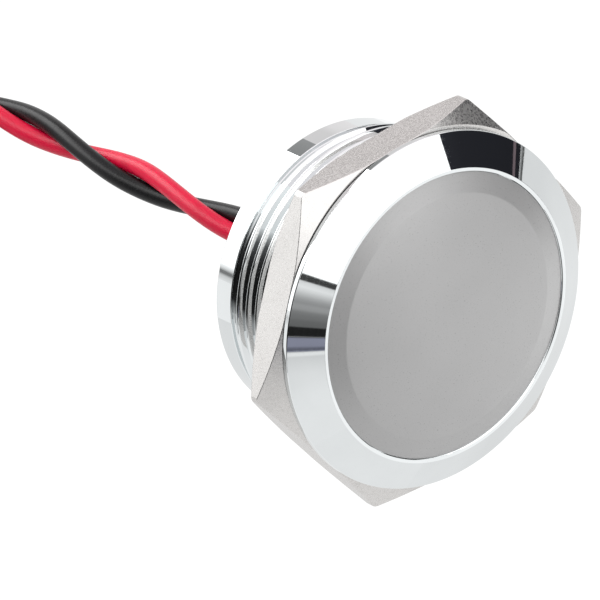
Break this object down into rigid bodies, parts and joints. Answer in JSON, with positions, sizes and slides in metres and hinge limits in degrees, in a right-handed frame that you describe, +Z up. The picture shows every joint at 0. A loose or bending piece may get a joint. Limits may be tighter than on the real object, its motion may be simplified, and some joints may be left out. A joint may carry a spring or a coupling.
{
  "type": "panel pilot light",
  "caption": "Round panel pilot light with a flat frosted lens in a chromed threaded housing, a thin hex nut and a twisted pair of leads.",
  "frame": {"origin": "on the axis of the housing, in the middle of the open thread behind the nut", "axes": "+Y along the axis from the lens to the rear, +Z up, +X to the right when the lens is looked at from the front"},
  "size_m": [0.0278, 0.0708, 0.0303],
  "materials": {
    "chromed_brass": "mirror polished chrome plate",
    "satin_nickel": "satin nickel plate",
    "black_rubber": "matt",
    "frosted_lens": "frosted",
    "opal_plastic": "opal",
    "white_plastic": "moulded",
    "board_laminate": "solder mask",
    "led_case": "moulded",
    "resistor_body": "lacquered",
    "diode_body": "moulded",
    "solder": "tinned",
    "black_plastic": "moulded",
    "red_pvc": "glossy",
    "black_pvc": "glossy"
  },
  "bodies": {
    "housing": {"housing": "chromed_brass", "panel_seal": "black_rubber", "lens": "frosted_lens", "lens_seal": "black_rubber", "diffuser": "opal_plastic", "reflector": "white_plastic", "circuit_board": "board_laminate", "led_1": "led_case", "led_2": "led_case", "led_3": "led_case", "led_4": "led_case", "led_5": "led_case", "led_6": "led_case", "resistor_1": "resistor_body", "resistor_2": "resistor_body", "protection_diode": "diode_body", "red_solder_joint": "solder", "black_solder_joint": "solder", "rear_plug": "black_plastic", "red_lead": "red_pvc", "black_lead": "black_pvc", "lead_coil": "black_pvc", "coil_tie": "white_plastic", "red_tail": "red_pvc", "black_tail": "black_pvc", "red_wire_end": "solder", "black_wire_end": "solder"},
    "nut": {"hex_nut": "satin_nickel"}
  },
  "joints": [
    {"name": "nut_travel", "type": "slide", "parent": "housing", "child": "nut", "axis": [0, 1, 0], "range_m": [0, 0.0043]}
  ]
}
